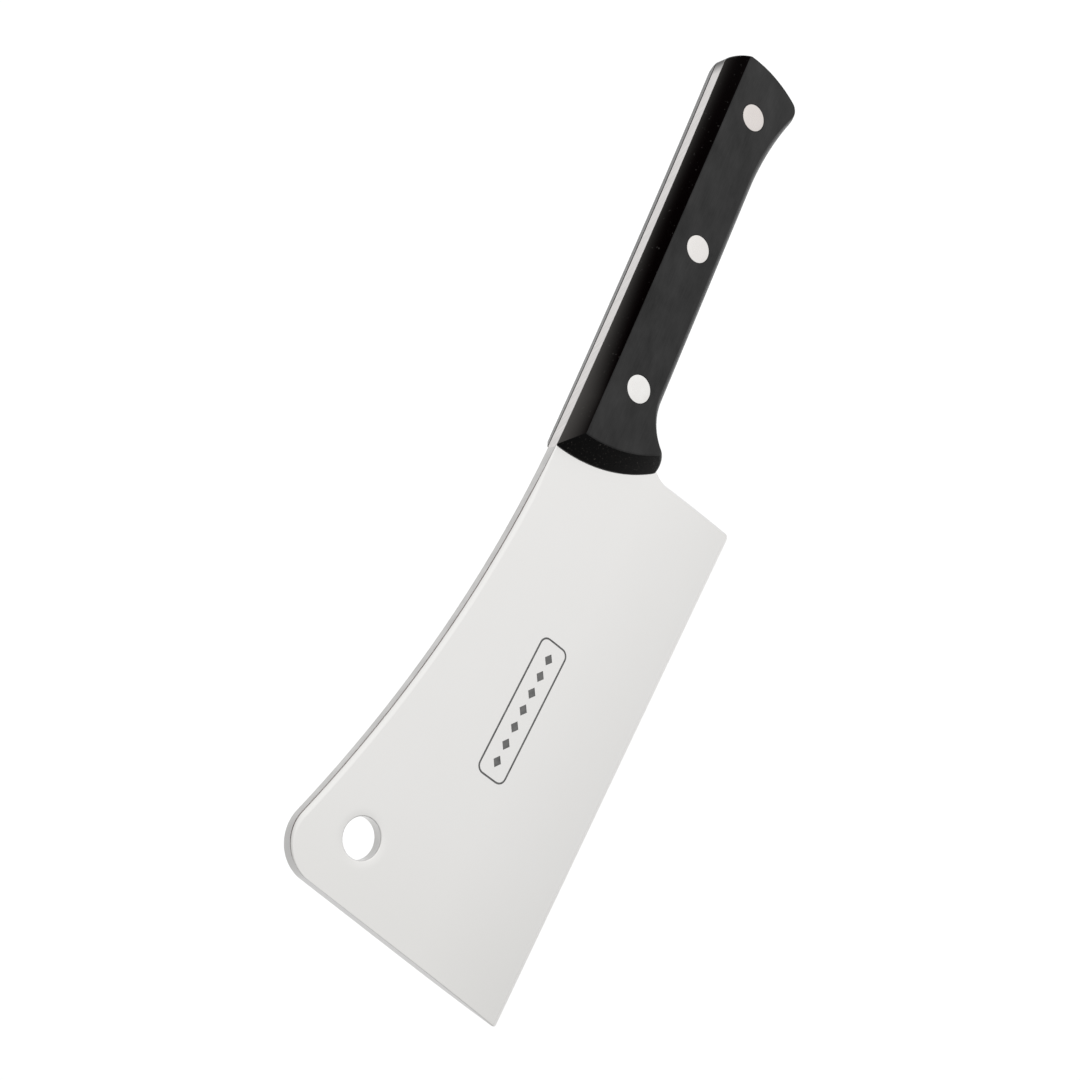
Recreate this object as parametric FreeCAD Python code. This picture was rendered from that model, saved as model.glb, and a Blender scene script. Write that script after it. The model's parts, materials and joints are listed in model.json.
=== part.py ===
import FreeCAD, Part
import math
import os

V = FreeCAD.Vector

# Riveted meat cleaver: one steel blade with a full tang, two bevelled
# handle scales and three two-piece cutler's rivets, nine pieces in all.
#
# Frame: the origin is the centre of the hanging hole, half way through the
# blade. +X runs from the butt of the handle to the front of the blade, +Y
# from the spine to the cutting edge, and +Z out of the marked side.

# ---------------------------------------------------------------- dimensions
# Blade
blade_thickness = 4.0
hole_diameter = 11.2
hole_rim = 0.3              # chamfer on both rims of the hanging hole
hole_margin = 17.0          # hole centre to the spine and to the front edge
spine_radius = 402.0        # hollow sweep of the spine
spine_level_x = -137.7      # where that sweep runs parallel to the handle
nose_radius = 11.0
front_lean = 8.7            # degrees, front edge off square to the handle
edge_slope = 4.64           # degrees, cutting edge against the handle
edge_distance = 62.6        # hole centre to the cutting edge, square to it
heel_x = -133.2
heel_corner = 1.6           # radius, heel to cutting edge
heel_throat = 8.0           # radius, tang belly to heel
tip_corner = 0.8            # radius, front edge to cutting edge
spine_break = 0.5           # chamfer on both rims of the blade's spine

# Grind, in a section square to the cutting edge
edge_land = 0.2             # thickness left at the very edge
edge_bevel = 0.9            # width of the sharpened bevel
edge_shoulder = 1.0         # thickness behind the sharpened bevel
grind_width = 33.0          # the convex grind meets the flat here

# Handle, measured from its own centre line
axis_y = 19.2               # handle centre line, from the hanging hole
waist_x = -198.4            # narrowest place, and the middle rivet
spine_half = 12.4           # centre line to the spine at the waist
belly_half = 11.65          # centre line to the straight belly
butt_x = -266.3             # furthest point of the butt
butt_radius = 38.9
butt_offset = -3.5          # that furthest point, from the centre line
butt_corner = 3.2           # radius, spine to butt
beak_corner = 3.3           # radius, butt to belly
beak_flare = 105.0          # radius, belly to beak
beak_flare_x = -229.4
front_flare = 20.0          # radius, belly to heel
front_flare_x = -151.9

# Handle scales
handle_thickness = 19.0
scale_land = 0.5            # upright foot below the bevels
front_x = -173.9            # centre of the scales' rounded front end
front_offset = -11.5
front_radius = 51.0
front_bevel = 4.6           # run of the bevel on the front end
butt_bevel = 0.9            # run of the butt from foot to flat face
crease_butt = 9.2           # spine crease, from the centre line, at the butt
plain_crease_butt = 10.1    # the same on the plain side
crease_front = 10.0         # and at the front end
crease_waist = 0.15         # hollow in that crease between its ends
plain_crease_waist = 0.5
belly_round = 3.8           # run of the rounded side along the belly
crease_flare = 17.8         # radius of the belly crease towards the heel
crease_beak = 80.0          # radius of the belly crease towards the beak
round_steps = 5             # sections that shape the rounded side
front_corner = 1.2          # radius at the front end's lower corner
face_corner = 0.4           # radius where the spine crease meets the butt
crease_break = 0.25         # height of the softened edge round the flat face
crease_share = 0.06         # its run, as a share of the bevels' run

# Rivets
rivet_pitch = 49.5
rivet_head = 8.3            # diameter
head_height = 2.2
barrel_diameter = 6.0
pin_diameter = 4.0
head_gap = 0.05             # all round each head in its counterbore
barrel_gap = 0.1            # all round each barrel
pin_gap = 0.02              # all round each pin in its barrel
pin_length = 13.0           # below its head
barrel_length = 14.0        # above its head

# Ornament etched in the blade, its own axes along the cutting edge
mark_depth = 0.1
mark_x = -52.0
mark_y = 29.5
mark_length = 43.0
mark_width = 10.0
mark_line = 0.55
mark_corner = 2.5
lozenge_count = 7
lozenge_pitch = 5.4
lozenge_length = 3.6
lozenge_width = 2.8

half_blade = blade_thickness / 2
half_handle = handle_thickness / 2


# ------------------------------------------------------------------- helpers
def circle_x(centre, radius, y, side):
    """X where a circle passes the height y, on its left or right side."""
    return centre.x + side * math.sqrt(radius**2 - (y - centre.y)**2)


def circle_y(centre, radius, x, side):
    """Y where a circle passes the station x, on its low or high side."""
    return centre.y + side * math.sqrt(radius**2 - (x - centre.x)**2)


def line_circle(point, along, centre, radius, side):
    """Where a line crosses a circle; side picks one crossing."""
    along = V(along).normalize()
    foot = point + along * (centre - point).dot(along)
    reach = math.sqrt(radius**2 - (centre - foot).Length**2)
    return foot + along * (side * reach)


def two_circles(c1, r1, c2, r2, side):
    """Where two circles cross; side picks the crossing left of c1 to c2."""
    span = c2 - c1
    gap = span.Length
    run = (r1**2 - r2**2 + gap**2) / (2 * gap)
    rise = math.sqrt(r1**2 - run**2)
    unit = V(span).normalize()
    return c1 + unit * run + V(-unit.y, unit.x, 0) * (side * rise)


def two_lines(p, u, q, w):
    """Where two lines cross."""
    step = ((q.x - p.x) * w.y - (q.y - p.y) * w.x) / (u.x * w.y - u.y * w.x)
    return p + u * step


def arc(start, end, centre):
    """The shorter arc from start to end about a centre."""
    radius = (start - centre).Length
    middle = centre + ((start + end) * 0.5 - centre).normalize() * radius
    return Part.Arc(start, middle, end).toShape()


def bow_circle(start, end, sagitta):
    """Centre and radius of the flat arc that bows towards +Y by its sagitta."""
    along = end - start
    across = V(-along.y, along.x, 0).normalize()
    radius = (along.Length**2 / 4 + sagitta**2) / (2 * sagitta)
    return (start + end) * 0.5 + across * (sagitta - radius), radius


def round_between(full, hollow, radius, side):
    """Centre and ends of a round that joins a full arc to a hollow one."""
    full_centre, full_radius = full
    hollow_centre, hollow_radius = hollow
    inner = full_radius - radius
    outer = hollow_radius + radius
    middle = two_circles(full_centre, inner, hollow_centre, outer, side)
    on_full = full_centre + (middle - full_centre).normalize() * full_radius
    on_hollow = hollow_centre + (middle - hollow_centre).normalize() * hollow_radius
    return middle, on_full, on_hollow


def line(start, end):
    return Part.LineSegment(start, end).toShape()


def mix(first, last, share):
    """A value or a point part of the way from the first to the last."""
    return first * (1 - share) + last * share


def slab(edges, corners, low, high):
    """The plan given by the edges, from low to high, with rounded corners."""
    shape = Part.Face(Part.Wire(edges)).extrude(V(0, 0, high - low))
    shape.translate(V(0, 0, low))
    for corner, radius in corners:
        axis = Part.Vertex(V(corner.x, corner.y, (low + high) / 2))
        upright = min(shape.Edges, key=lambda edge: edge.distToShape(axis)[0])
        shape = shape.makeFillet(radius, [upright])
    return shape


def cylinder(radius, low, high, x, y):
    return Part.makeCylinder(radius, high - low, V(x, y, low), V(0, 0, 1))


def save(name, shape):
    solid = shape.Solids[0]
    print(f"{name}: valid {solid.isValid()} solids {len(shape.Solids)} volume {solid.Volume:.0f}")
    solid.exportStep(f"parts/{name}.step")


# ------------------------------------------------------------ plan of the blank
spine_centre_y = -math.sqrt((spine_radius + hole_margin)**2 - spine_level_x**2)
spine_centre = V(spine_level_x, spine_centre_y, 0)

# The handle's spine is a very flat arc that runs into the blade's sweep.
waist = V(waist_x, axis_y - spine_half, 0)
level_gap = waist.y - (spine_centre.y + spine_radius)
level_run = spine_level_x - waist_x
waist_radius = spine_radius + (level_run**2 + level_gap**2) / (2 * level_gap)
waist_centre = waist - V(0, waist_radius, 0)
sweep_start = spine_centre + (spine_centre - waist_centre).normalize() * spine_radius

lean = math.radians(front_lean)
slope = math.radians(edge_slope)
front_along = V(math.sin(lean), math.cos(lean), 0)
front_out = V(math.cos(lean), -math.sin(lean), 0)
front_point = front_out * hole_margin
edge_along = V(math.cos(slope), -math.sin(slope), 0)
edge_out = V(math.sin(slope), math.cos(slope), 0)
edge_point = edge_out * edge_distance

nose_guide = front_point - front_out * nose_radius
nose_centre = line_circle(nose_guide, front_along, spine_centre, spine_radius + nose_radius, 1)
nose_rear = spine_centre + (nose_centre - spine_centre).normalize() * spine_radius
nose_front = nose_centre + front_out * nose_radius
tip = two_lines(front_point, front_along, edge_point, edge_along)
heel = two_lines(V(heel_x, 0, 0), V(0, 1, 0), edge_point, edge_along)

butt_centre = V(butt_x + butt_radius, axis_y + butt_offset, 0)
butt_spine = two_circles(butt_centre, butt_radius, waist_centre, waist_radius, -1)
belly_y = axis_y + belly_half
beak_centre = V(beak_flare_x, belly_y + beak_flare, 0)
beak = two_circles(butt_centre, butt_radius, beak_centre, beak_flare, 1)
beak_start = V(beak_flare_x, belly_y, 0)
flare_centre = V(front_flare_x, belly_y + front_flare, 0)
flare_start = V(front_flare_x, belly_y, 0)
throat = V(heel_x, circle_y(flare_centre, front_flare, heel_x, -1), 0)

front_centre = V(front_x, axis_y + front_offset, 0)
scale_toe = two_circles(front_centre, front_radius, spine_centre, spine_radius, 1)
scale_lip = two_circles(front_centre, front_radius, flare_centre, front_flare, -1)


def blank_outline():
    """Plan of the steel, blade and tang in one."""
    return [
        arc(butt_spine, sweep_start, waist_centre),
        arc(sweep_start, scale_toe, spine_centre),
        arc(scale_toe, nose_rear, spine_centre),
        arc(nose_rear, nose_front, nose_centre),
        line(nose_front, tip),
        line(tip, heel),
        line(heel, throat),
        arc(throat, flare_start, flare_centre),
        line(flare_start, beak_start),
        arc(beak_start, beak, beak_centre),
        arc(beak, butt_spine, butt_centre),
    ]


def spine_crease(butt_offset, hollow):
    """Where the flat outer face of a scale meets its spine bevel."""
    butt_y = axis_y - butt_offset
    front_y = axis_y - crease_front
    corner_x = circle_x(butt_centre, butt_radius - butt_bevel, butt_y, -1)
    toe_x = circle_x(front_centre, front_radius - front_bevel, front_y, 1)
    corner = V(corner_x, butt_y, 0)
    toe = V(toe_x, front_y, 0)
    joint = mix(corner, toe, (sweep_start.x - corner_x) / (toe_x - corner_x))
    return corner, joint, toe, hollow


foot_waist = waist_radius - math.sqrt(waist_radius**2 - (sweep_start - butt_spine).Length**2 / 4)
foot_sweep = spine_radius - math.sqrt(spine_radius**2 - (scale_toe - sweep_start).Length**2 / 4)


def scale_section(share, z, crease):
    """Plan of a scale at height z: share is 0 at its foot, 1 at its face.

    The spine and the front end are flat bevels, the belly and the butt are
    rounded.
    """
    sunk = share**2
    rising = 1 - (1 - share)**2
    butt = (butt_centre, butt_radius - butt_bevel * sunk)
    front = (front_centre, front_radius - front_bevel * share)
    belly = belly_y - belly_round * sunk
    flare_size = mix(front_flare, crease_flare, rising)
    hook_size = mix(beak_flare, crease_beak, sunk)
    flare = (V(front_flare_x, belly + flare_size, 0), flare_size)
    hook = (V(beak_flare_x, belly + hook_size, 0), hook_size)
    face_butt, face_joint, face_toe, hollow = crease
    corner = mix(butt_spine, face_butt, share)
    joint = mix(sweep_start, face_joint, share)
    toe = mix(scale_toe, face_toe, share)
    spine = bow_circle(corner, joint, mix(foot_waist, hollow, share))
    sweep = bow_circle(joint, toe, foot_sweep)
    corner_size = mix(butt_corner, face_corner, rising)
    upper, upper_butt, upper_spine = round_between(butt, spine, corner_size, -1)
    lower, lower_butt, lower_hook = round_between(butt, hook, beak_corner, 1)
    lip, lip_front, lip_flare = round_between(front, flare, front_corner, -1)
    flare_end = V(front_flare_x, belly, 0)
    hook_end = V(beak_flare_x, belly, 0)
    outline = Part.Wire([
        arc(upper_spine, joint, spine[0]),
        arc(joint, toe, sweep[0]),
        arc(toe, lip_front, front_centre),
        arc(lip_front, lip_flare, lip),
        arc(lip_flare, flare_end, flare[0]),
        line(flare_end, hook_end),
        arc(hook_end, lower_hook, hook[0]),
        arc(lower_hook, lower_butt, lower),
        arc(lower_butt, upper_butt, butt_centre),
        arc(upper_butt, upper_spine, upper),
    ])
    outline.translate(V(0, 0, z))
    return outline


# -------------------------------------------------------------------- pieces
def grind_body():
    """Bar along the cutting edge with the blade's wedge section."""
    half_edge = edge_land / 2
    half_shoulder = edge_shoulder / 2
    drop = half_blade - half_shoulder
    run = grind_width - edge_bevel
    radius = (run**2 + drop**2) / (2 * drop)
    middle_run = run / 2
    middle_drop = radius - math.sqrt(radius**2 - middle_run**2)
    back = grind_width + edge_distance + hole_margin
    start = edge_point + edge_along * butt_x * 1.2
    end = edge_point + edge_along * tip.x * 2

    def at(distance, z):
        return start - edge_out * distance + V(0, 0, z)

    def half_section(sign):
        flat = at(grind_width, sign * half_blade)
        middle = at(grind_width - middle_run, sign * (half_blade - middle_drop))
        shoulder = at(edge_bevel, sign * half_shoulder)
        return [
            line(at(back, sign * half_blade), flat),
            Part.Arc(flat, middle, shoulder).toShape(),
            line(shoulder, at(0, sign * half_edge)),
        ]

    upper = half_section(1)
    lower = half_section(-1)
    ends = [
        line(at(0, half_edge), at(0, -half_edge)),
        line(at(back, -half_blade), at(back, half_blade)),
    ]
    section = Part.Wire(Part.__sortEdges__(upper + lower + ends))
    return Part.Face(section).extrude(end - start)


def rim_triangle(point, outward):
    """Section of the chamfer cut from the upper rim at one plan point."""
    spare = 0.2
    high = V(0, 0, half_blade + spare)
    deep = V(0, 0, half_blade - spine_break - spare)
    inner = point - outward * (spine_break + spare) + high
    lower = point + outward * spare + deep
    outer = point + outward * spare + high
    return Part.Face(Part.makePolygon([inner, lower, outer, inner]))


def turn(start, end, centre):
    """Angle in degrees about a centre from start to end."""
    return math.degrees((start - centre).getAngle(end - centre))


def rim_cutters():
    """Chamfers along the blade's spine, nose and front edge, both sides."""
    up = V(0, 0, 1)
    toe_out = (spine_centre - scale_toe).normalize()
    sweep = rim_triangle(scale_toe, toe_out)
    nose_out = (nose_rear - nose_centre).normalize()
    nose = rim_triangle(nose_rear, nose_out)
    sweep = sweep.revolve(spine_centre, -up, turn(scale_toe, nose_rear, spine_centre))
    nose = nose.revolve(nose_centre, up, turn(nose_rear, nose_front, nose_centre))
    front = rim_triangle(nose_front, front_out).extrude(tip - nose_front)
    upper = [sweep, nose, front]
    return upper + [shape.mirror(V(0, 0, 0), up) for shape in upper]


def mark_cutters():
    """Shallow etched cartouche: a rounded frame round a row of lozenges."""
    low = half_blade - mark_depth

    def plate(length, width, radius):
        box = Part.makeBox(length, width, 1.0, V(-length / 2, -width / 2, low))
        corners = [e for e in box.Edges if e.BoundBox.ZLength > 0.9]
        return box.makeFillet(radius, corners)

    inner_length = mark_length - 2 * mark_line
    inner_width = mark_width - 2 * mark_line
    outer = plate(mark_length, mark_width, mark_corner)
    inner = plate(inner_length, inner_width, mark_corner - mark_line)
    shapes = [outer.cut(inner)]
    for index in range(lozenge_count):
        x = (index - (lozenge_count - 1) / 2) * lozenge_pitch
        a = V(x - lozenge_length / 2, 0, low)
        b = V(x, -lozenge_width / 2, low)
        c = V(x + lozenge_length / 2, 0, low)
        d = V(x, lozenge_width / 2, low)
        shapes.append(Part.Face(Part.makePolygon([a, b, c, d, a])).extrude(V(0, 0, 1)))
    for shape in shapes:
        shape.rotate(V(0, 0, 0), V(0, 0, 1), -edge_slope)
        shape.translate(V(mark_x, mark_y, 0))
    return shapes


def rivet_stations():
    names = ("rear", "middle", "front")
    return [(name, waist_x + (i - 1) * rivet_pitch) for i, name in enumerate(names)]


def make_blade():
    corners = (
        (tip, tip_corner),
        (heel, heel_corner),
        (throat, heel_throat),
        (beak, beak_corner),
        (butt_spine, butt_corner),
    )
    blank = slab(blank_outline(), corners, -half_blade, half_blade)
    blade = blank.common(grind_body()).Solids[0]
    radius = hole_diameter / 2
    wide = radius + hole_rim
    rim = half_blade - hole_rim
    cutters = rim_cutters() + mark_cutters()
    cutters.append(cylinder(radius, -half_blade, half_blade, 0, 0))
    cutters.append(Part.makeCone(radius, wide, hole_rim, V(0, 0, rim)))
    cutters.append(Part.makeCone(wide, radius, hole_rim, V(0, 0, -half_blade)))
    for _, x in rivet_stations():
        bore = barrel_diameter / 2 + barrel_gap
        cutters.append(cylinder(bore, -half_blade, half_blade, x, axis_y))
    return blade.cut(cutters)


def make_scale(crease):
    """Scale on the +Z side of the tang."""
    land_top = half_blade + scale_land
    bevel_top = half_handle - crease_break
    land = Part.Face(scale_section(0, half_blade, crease)).extrude(V(0, 0, scale_land))
    sections = []
    for step in range(round_steps + 1):
        share = step / round_steps
        sections.append(scale_section(share, mix(land_top, bevel_top, share), crease))
    sides = Part.makeLoft(sections, True, False)
    face = scale_section(1 + crease_share, half_handle, crease)
    softened = Part.makeLoft([sections[-1], face], True, True)
    scale = land.fuse([sides, softened]).removeSplitter()
    cutters = []
    seat = half_handle - head_height
    for _, x in rivet_stations():
        cutters.append(cylinder(barrel_diameter / 2 + barrel_gap, 0, half_handle, x, axis_y))
        cutters.append(cylinder(rivet_head / 2 + head_gap, seat, half_handle + 1, x, axis_y))
    return scale.cut(cutters)


def make_rivet_post(x):
    """Solid half: a flush head on the +Z face and a pin below it."""
    seat = half_handle - head_height
    head = cylinder(rivet_head / 2, seat, half_handle, x, axis_y)
    pin = cylinder(pin_diameter / 2 - pin_gap, seat - pin_length, seat + 0.5, x, axis_y)
    return head.fuse(pin).removeSplitter()


def make_rivet_socket(x):
    """Hollow half: a flush head on the -Z face and a barrel above it."""
    seat = -half_handle + head_height
    head = cylinder(rivet_head / 2, -half_handle, seat, x, axis_y)
    barrel = cylinder(barrel_diameter / 2, seat - 0.5, seat + barrel_length, x, axis_y)
    bore = cylinder(pin_diameter / 2, seat, seat + barrel_length + 1, x, axis_y)
    return head.fuse(barrel).removeSplitter().cut(bore)


os.makedirs("parts", exist_ok=True)
save("blade", make_blade())
save("scale_marked_side", make_scale(spine_crease(crease_butt, crease_waist)))
plain_scale = make_scale(spine_crease(plain_crease_butt, plain_crease_waist))
save("scale_plain_side", plain_scale.mirror(V(0, 0, 0), V(0, 0, 1)))
for station, rivet_x in rivet_stations():
    save(f"rivet_{station}_post", make_rivet_post(rivet_x))
    save(f"rivet_{station}_socket", make_rivet_socket(rivet_x))
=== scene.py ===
import json
import math

import bmesh
import bpy
from mathutils import Matrix, Vector


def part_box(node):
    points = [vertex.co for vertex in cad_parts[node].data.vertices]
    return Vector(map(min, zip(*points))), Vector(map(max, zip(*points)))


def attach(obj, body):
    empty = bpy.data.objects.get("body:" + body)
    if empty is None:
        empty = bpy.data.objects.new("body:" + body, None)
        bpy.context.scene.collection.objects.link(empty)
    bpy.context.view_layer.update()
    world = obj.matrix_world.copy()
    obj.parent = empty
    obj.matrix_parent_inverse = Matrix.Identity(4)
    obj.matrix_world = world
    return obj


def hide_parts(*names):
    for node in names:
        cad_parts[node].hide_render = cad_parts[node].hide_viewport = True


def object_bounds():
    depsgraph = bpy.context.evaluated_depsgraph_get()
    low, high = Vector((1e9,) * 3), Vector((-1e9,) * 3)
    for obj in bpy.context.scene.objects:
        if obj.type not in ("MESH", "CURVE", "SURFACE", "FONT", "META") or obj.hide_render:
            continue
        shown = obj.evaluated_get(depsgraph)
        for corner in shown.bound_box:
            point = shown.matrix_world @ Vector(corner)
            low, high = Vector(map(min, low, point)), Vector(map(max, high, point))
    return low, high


# Riveted meat cleaver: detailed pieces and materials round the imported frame.
#
# Plans are drawn in millimetres, in the frame's own axes: +X from butt to
# front, +Y from spine to cutting edge, +Z out of the marked side. Each mesh
# is turned into metres when it is finished.

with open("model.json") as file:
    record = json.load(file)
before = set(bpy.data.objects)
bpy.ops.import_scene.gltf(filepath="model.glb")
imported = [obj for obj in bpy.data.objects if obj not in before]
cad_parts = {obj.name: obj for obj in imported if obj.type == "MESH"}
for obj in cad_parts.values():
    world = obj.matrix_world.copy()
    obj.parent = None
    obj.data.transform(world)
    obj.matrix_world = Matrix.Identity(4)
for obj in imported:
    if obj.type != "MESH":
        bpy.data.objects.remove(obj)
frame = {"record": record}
cad_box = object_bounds()

MM = 0.001


# ------------------------------------------------------------ from the frame
def box_mm(node):
    low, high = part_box(node)
    return low / MM, high / MM


def mount(name):
    return next(m for m in frame["record"]["mounts"] if m["name"] == name)


blade_low, blade_high = box_mm("blade")
head_low, head_high = box_mm("rivet_middle_post")
half_blade = blade_high.z
half_handle = box_mm("scale_marked_side")[1].z
head_radius = (head_high.x - head_low.x) / 2
pin_foot = head_low.z
barrel_top = box_mm("rivet_middle_socket")[1].z
waist_x = (head_low.x + head_high.x) / 2
axis_y = (head_low.y + head_high.y) / 2
butt_x = blade_low.x
hole_radius = mount("hang_hole")["dims"]["r_mm"]

# ------------------------------------------------- dimensions of the plan, mm
hole_margin = 17.0          # hole centre to the spine and to the front edge
spine_radius = 402.0
spine_level_x = -137.7
nose_radius = 11.0
front_lean = math.radians(8.7)
edge_slope = math.radians(4.64)
edge_distance = 62.6        # hole centre to the cutting edge
heel_x = -133.2
heel_corner = 1.6
heel_throat = 8.0
tip_corner = 0.8

edge_land = 0.2             # thickness at the very edge
edge_bevel = 0.9            # width of the sharpened bevel
edge_shoulder = 1.0         # thickness behind it
grind_width = 33.0

spine_half = 12.4           # handle centre line to the spine at the waist
belly_half = 11.65
butt_radius = 38.9
butt_offset = -3.5
butt_corner = 3.2
beak_corner = 3.3
beak_flare = 105.0
beak_flare_x = -229.4
front_flare = 20.0
front_flare_x = -151.9

scale_land = 0.5
front_x = -173.9
front_offset = -11.5
front_radius = 51.0
front_bevel = 4.6
butt_bevel = 0.9
crease_butt = 9.2           # spine crease of the marked side, and its hollow
crease_waist = 0.15
plain_crease_butt = 10.1    # the same on the plain side
plain_crease_waist = 0.5
crease_front = 10.0
belly_round = 3.8
crease_flare = 17.8
crease_beak = 80.0
crease_depth = 0.25         # the bevels reach their full run this far down
toe_corner = 0.35
front_corner = 1.2
face_corner = 0.4

# Rounded rims and small gaps
spine_rim = 1.55            # depth of the round along the spine, on the marked side
spine_lean = 1.05           # it reaches this much further in than down
spine_rim_x = -105.0        # where that round is full
early_rim = 0.3             # it starts gently, with this depth here
early_rim_x = -124.0
plain_rim = 0.3             # greatest round on the plain side
front_rim = 0.1
heel_rim = 0.3
tang_rim = 0.05
edge_rim = 0.03
hole_rim = 0.35
hole_dish = 0.18            # the face dips this much into the hanging hole
hole_dish_width = 2.4
scale_rim = 0.06
seat_rim = 0.07             # round on the lip of each rivet's seat
head_rim = 0.09             # round on each rivet head
rim_share = 0.8             # a rim takes at most this much of the half thickness

# Rivets
rivet_pitch = 49.5
head_height = 2.2
head_gap = 0.05
barrel_radius = 3.0
barrel_gap = 0.1
pin_radius = 1.98
pin_chamfer = 0.4
bore_radius = 2.0
barrel_chamfer = 0.25       # on both of its rims

# Ornament etched in the marked side
mark_centre = Vector((-52.0, 29.5))
mark_depth = 0.1
mark_length = 43.0
mark_width = 10.0
mark_line = 0.55
mark_corner = 2.5
mark_wall = 0.04            # run of its sloping walls
lozenge_count = 7
lozenge_pitch = 5.4
lozenge_length = 3.6
lozenge_width = 2.8

# Fineness of the meshes
rim_steps = 8
wall_steps = 2              # the first steps of a rim are finished like the wall
hole_steps = 96
rivet_steps = 96
head_rim_steps = 4
dish_rows = (0.15, 0.35, 0.6, 0.8, 1.0)
bevel_rows = 10             # straight part of a scale's bevels
bevel_first = 0.05          # its shares of their run
bevel_span = 0.85
bevel_end = 1.09            # share where the flat face begins
flat_rings = 5              # the last rings of a scale are finished like its flat face
scale_sharp = 50            # corners sharper than this, in degrees, stay crisp
rivet_sharp = 40
grind_rows = (0.8, 0.9, 1.0, 1.6, 2.6, 4, 6, 8.5, 11, 14, 17, 20, 23, 26, 29, 31.5, 33)
plan_offset = 10.0          # keeps the two faces apart until they are lifted


# ---------------------------------------------------------- plan construction
def turned(vector, angle):
    return Matrix.Rotation(angle, 2) @ vector


def mix(first, last, share):
    return first * (1 - share) + last * share


def two_circles(c1, r1, c2, r2, side):
    """Where two circles cross; side picks the crossing left of c1 to c2."""
    span = c2 - c1
    run = (r1**2 - r2**2 + span.length_squared) / (2 * span.length)
    rise = math.sqrt(r1**2 - run**2)
    unit = span.normalized()
    return c1 + unit * run + Vector((-unit.y, unit.x)) * (side * rise)


def two_lines(p, u, q, w):
    """Where two lines cross."""
    step = ((q.x - p.x) * w.y - (q.y - p.y) * w.x) / (u.x * w.y - u.y * w.x)
    return p + u * step


def bow_centre(start, end, sagitta):
    """Centre of the flat arc that bows towards +Y by its sagitta."""
    along = end - start
    across = Vector((-along.y, along.x)).normalized()
    radius = (along.length_squared / 4 + sagitta**2) / (2 * sagitta)
    return (start + end) / 2 + across * (sagitta - radius), radius


def round_between(full, hollow, radius, side):
    """Centre and ends of a round that joins a full arc to a hollow one."""
    full_centre, full_radius = full
    hollow_centre, hollow_radius = hollow
    inner = full_radius - radius
    outer = hollow_radius + radius
    middle = two_circles(full_centre, inner, hollow_centre, outer, side)
    on_full = full_centre + (middle - full_centre).normalized() * full_radius
    on_hollow = hollow_centre + (middle - hollow_centre).normalized() * hollow_radius
    return middle, on_full, on_hollow


def round_corner(corner, before, after, radius):
    """Centre and ends of a round where two straight sides meet."""
    back = (before - corner).normalized()
    on = (after - corner).normalized()
    half = back.angle(on) / 2
    centre = corner + (back + on).normalized() * (radius / math.sin(half))
    run = radius / math.tan(half)
    return centre, corner + back * run, corner + on * run


def arc(start, end, centre, steps, hollow=False):
    """(point, outward normal) from start up to end, the short way round."""
    first = start - centre
    last = end - centre
    whole = math.atan2(first.x * last.y - first.y * last.x, first.dot(last))
    sign = -1 if hollow else 1
    spots = []
    for i in range(steps):
        ray = turned(first, whole * i / steps)
        spots.append((centre + ray, ray.normalized() * sign))
    return spots


def line(start, end, steps):
    along = (end - start).normalized()
    out = Vector((along.y, -along.x))
    return [(mix(start, end, i / steps), out) for i in range(steps)]


# ---------------------------------------------------------- the blank's plan
spine_y = -math.sqrt((spine_radius + hole_margin)**2 - spine_level_x**2)
spine_centre = Vector((spine_level_x, spine_y))
waist = Vector((waist_x, axis_y - spine_half))
level_gap = waist.y - (spine_centre.y + spine_radius)
level_run = spine_level_x - waist_x
waist_radius = spine_radius + (level_run**2 + level_gap**2) / (2 * level_gap)
waist_centre = waist - Vector((0, waist_radius))
sweep_start = spine_centre + (spine_centre - waist_centre).normalized() * spine_radius

front_along = Vector((math.sin(front_lean), math.cos(front_lean)))
front_out = Vector((math.cos(front_lean), -math.sin(front_lean)))
front_point = front_out * hole_margin
edge_along = Vector((math.cos(edge_slope), -math.sin(edge_slope)))
edge_out = Vector((math.sin(edge_slope), math.cos(edge_slope)))
edge_point = edge_out * edge_distance
tip = two_lines(front_point, front_along, edge_point, edge_along)
heel = two_lines(Vector((heel_x, 0)), Vector((0, 1)), edge_point, edge_along)

nose_foot = front_point - front_out * nose_radius
nose_foot = nose_foot + front_along * (spine_centre - nose_foot).dot(front_along)
nose_reach = math.sqrt((spine_radius + nose_radius)**2 - (spine_centre - nose_foot).length_squared)
nose_centre = nose_foot + front_along * nose_reach
nose_rear = spine_centre + (nose_centre - spine_centre).normalized() * spine_radius
nose_front = nose_centre + front_out * nose_radius

belly_y = axis_y + belly_half
butt_centre = Vector((butt_x + butt_radius, axis_y + butt_offset))
butt_spine = two_circles(butt_centre, butt_radius, waist_centre, waist_radius, -1)
front_centre = Vector((front_x, axis_y + front_offset))
scale_toe = two_circles(front_centre, front_radius, spine_centre, spine_radius, 1)
flare_start = Vector((front_flare_x, belly_y))
flare_centre = flare_start + Vector((0, front_flare))
hook_start = Vector((beak_flare_x, belly_y))
hook_centre = hook_start + Vector((0, beak_flare))

throat_x = heel_x - heel_throat
throat_rise = math.sqrt((front_flare - heel_throat)**2 - (throat_x - front_flare_x)**2)
throat = Vector((throat_x, flare_centre.y - throat_rise))
throat_a = throat + Vector((heel_throat, 0))
throat_b = flare_centre + (throat - flare_centre).normalized() * front_flare


def on_spine(x):
    run = x - spine_centre.x
    return spine_centre + Vector((run, math.sqrt(spine_radius**2 - run**2)))


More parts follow.
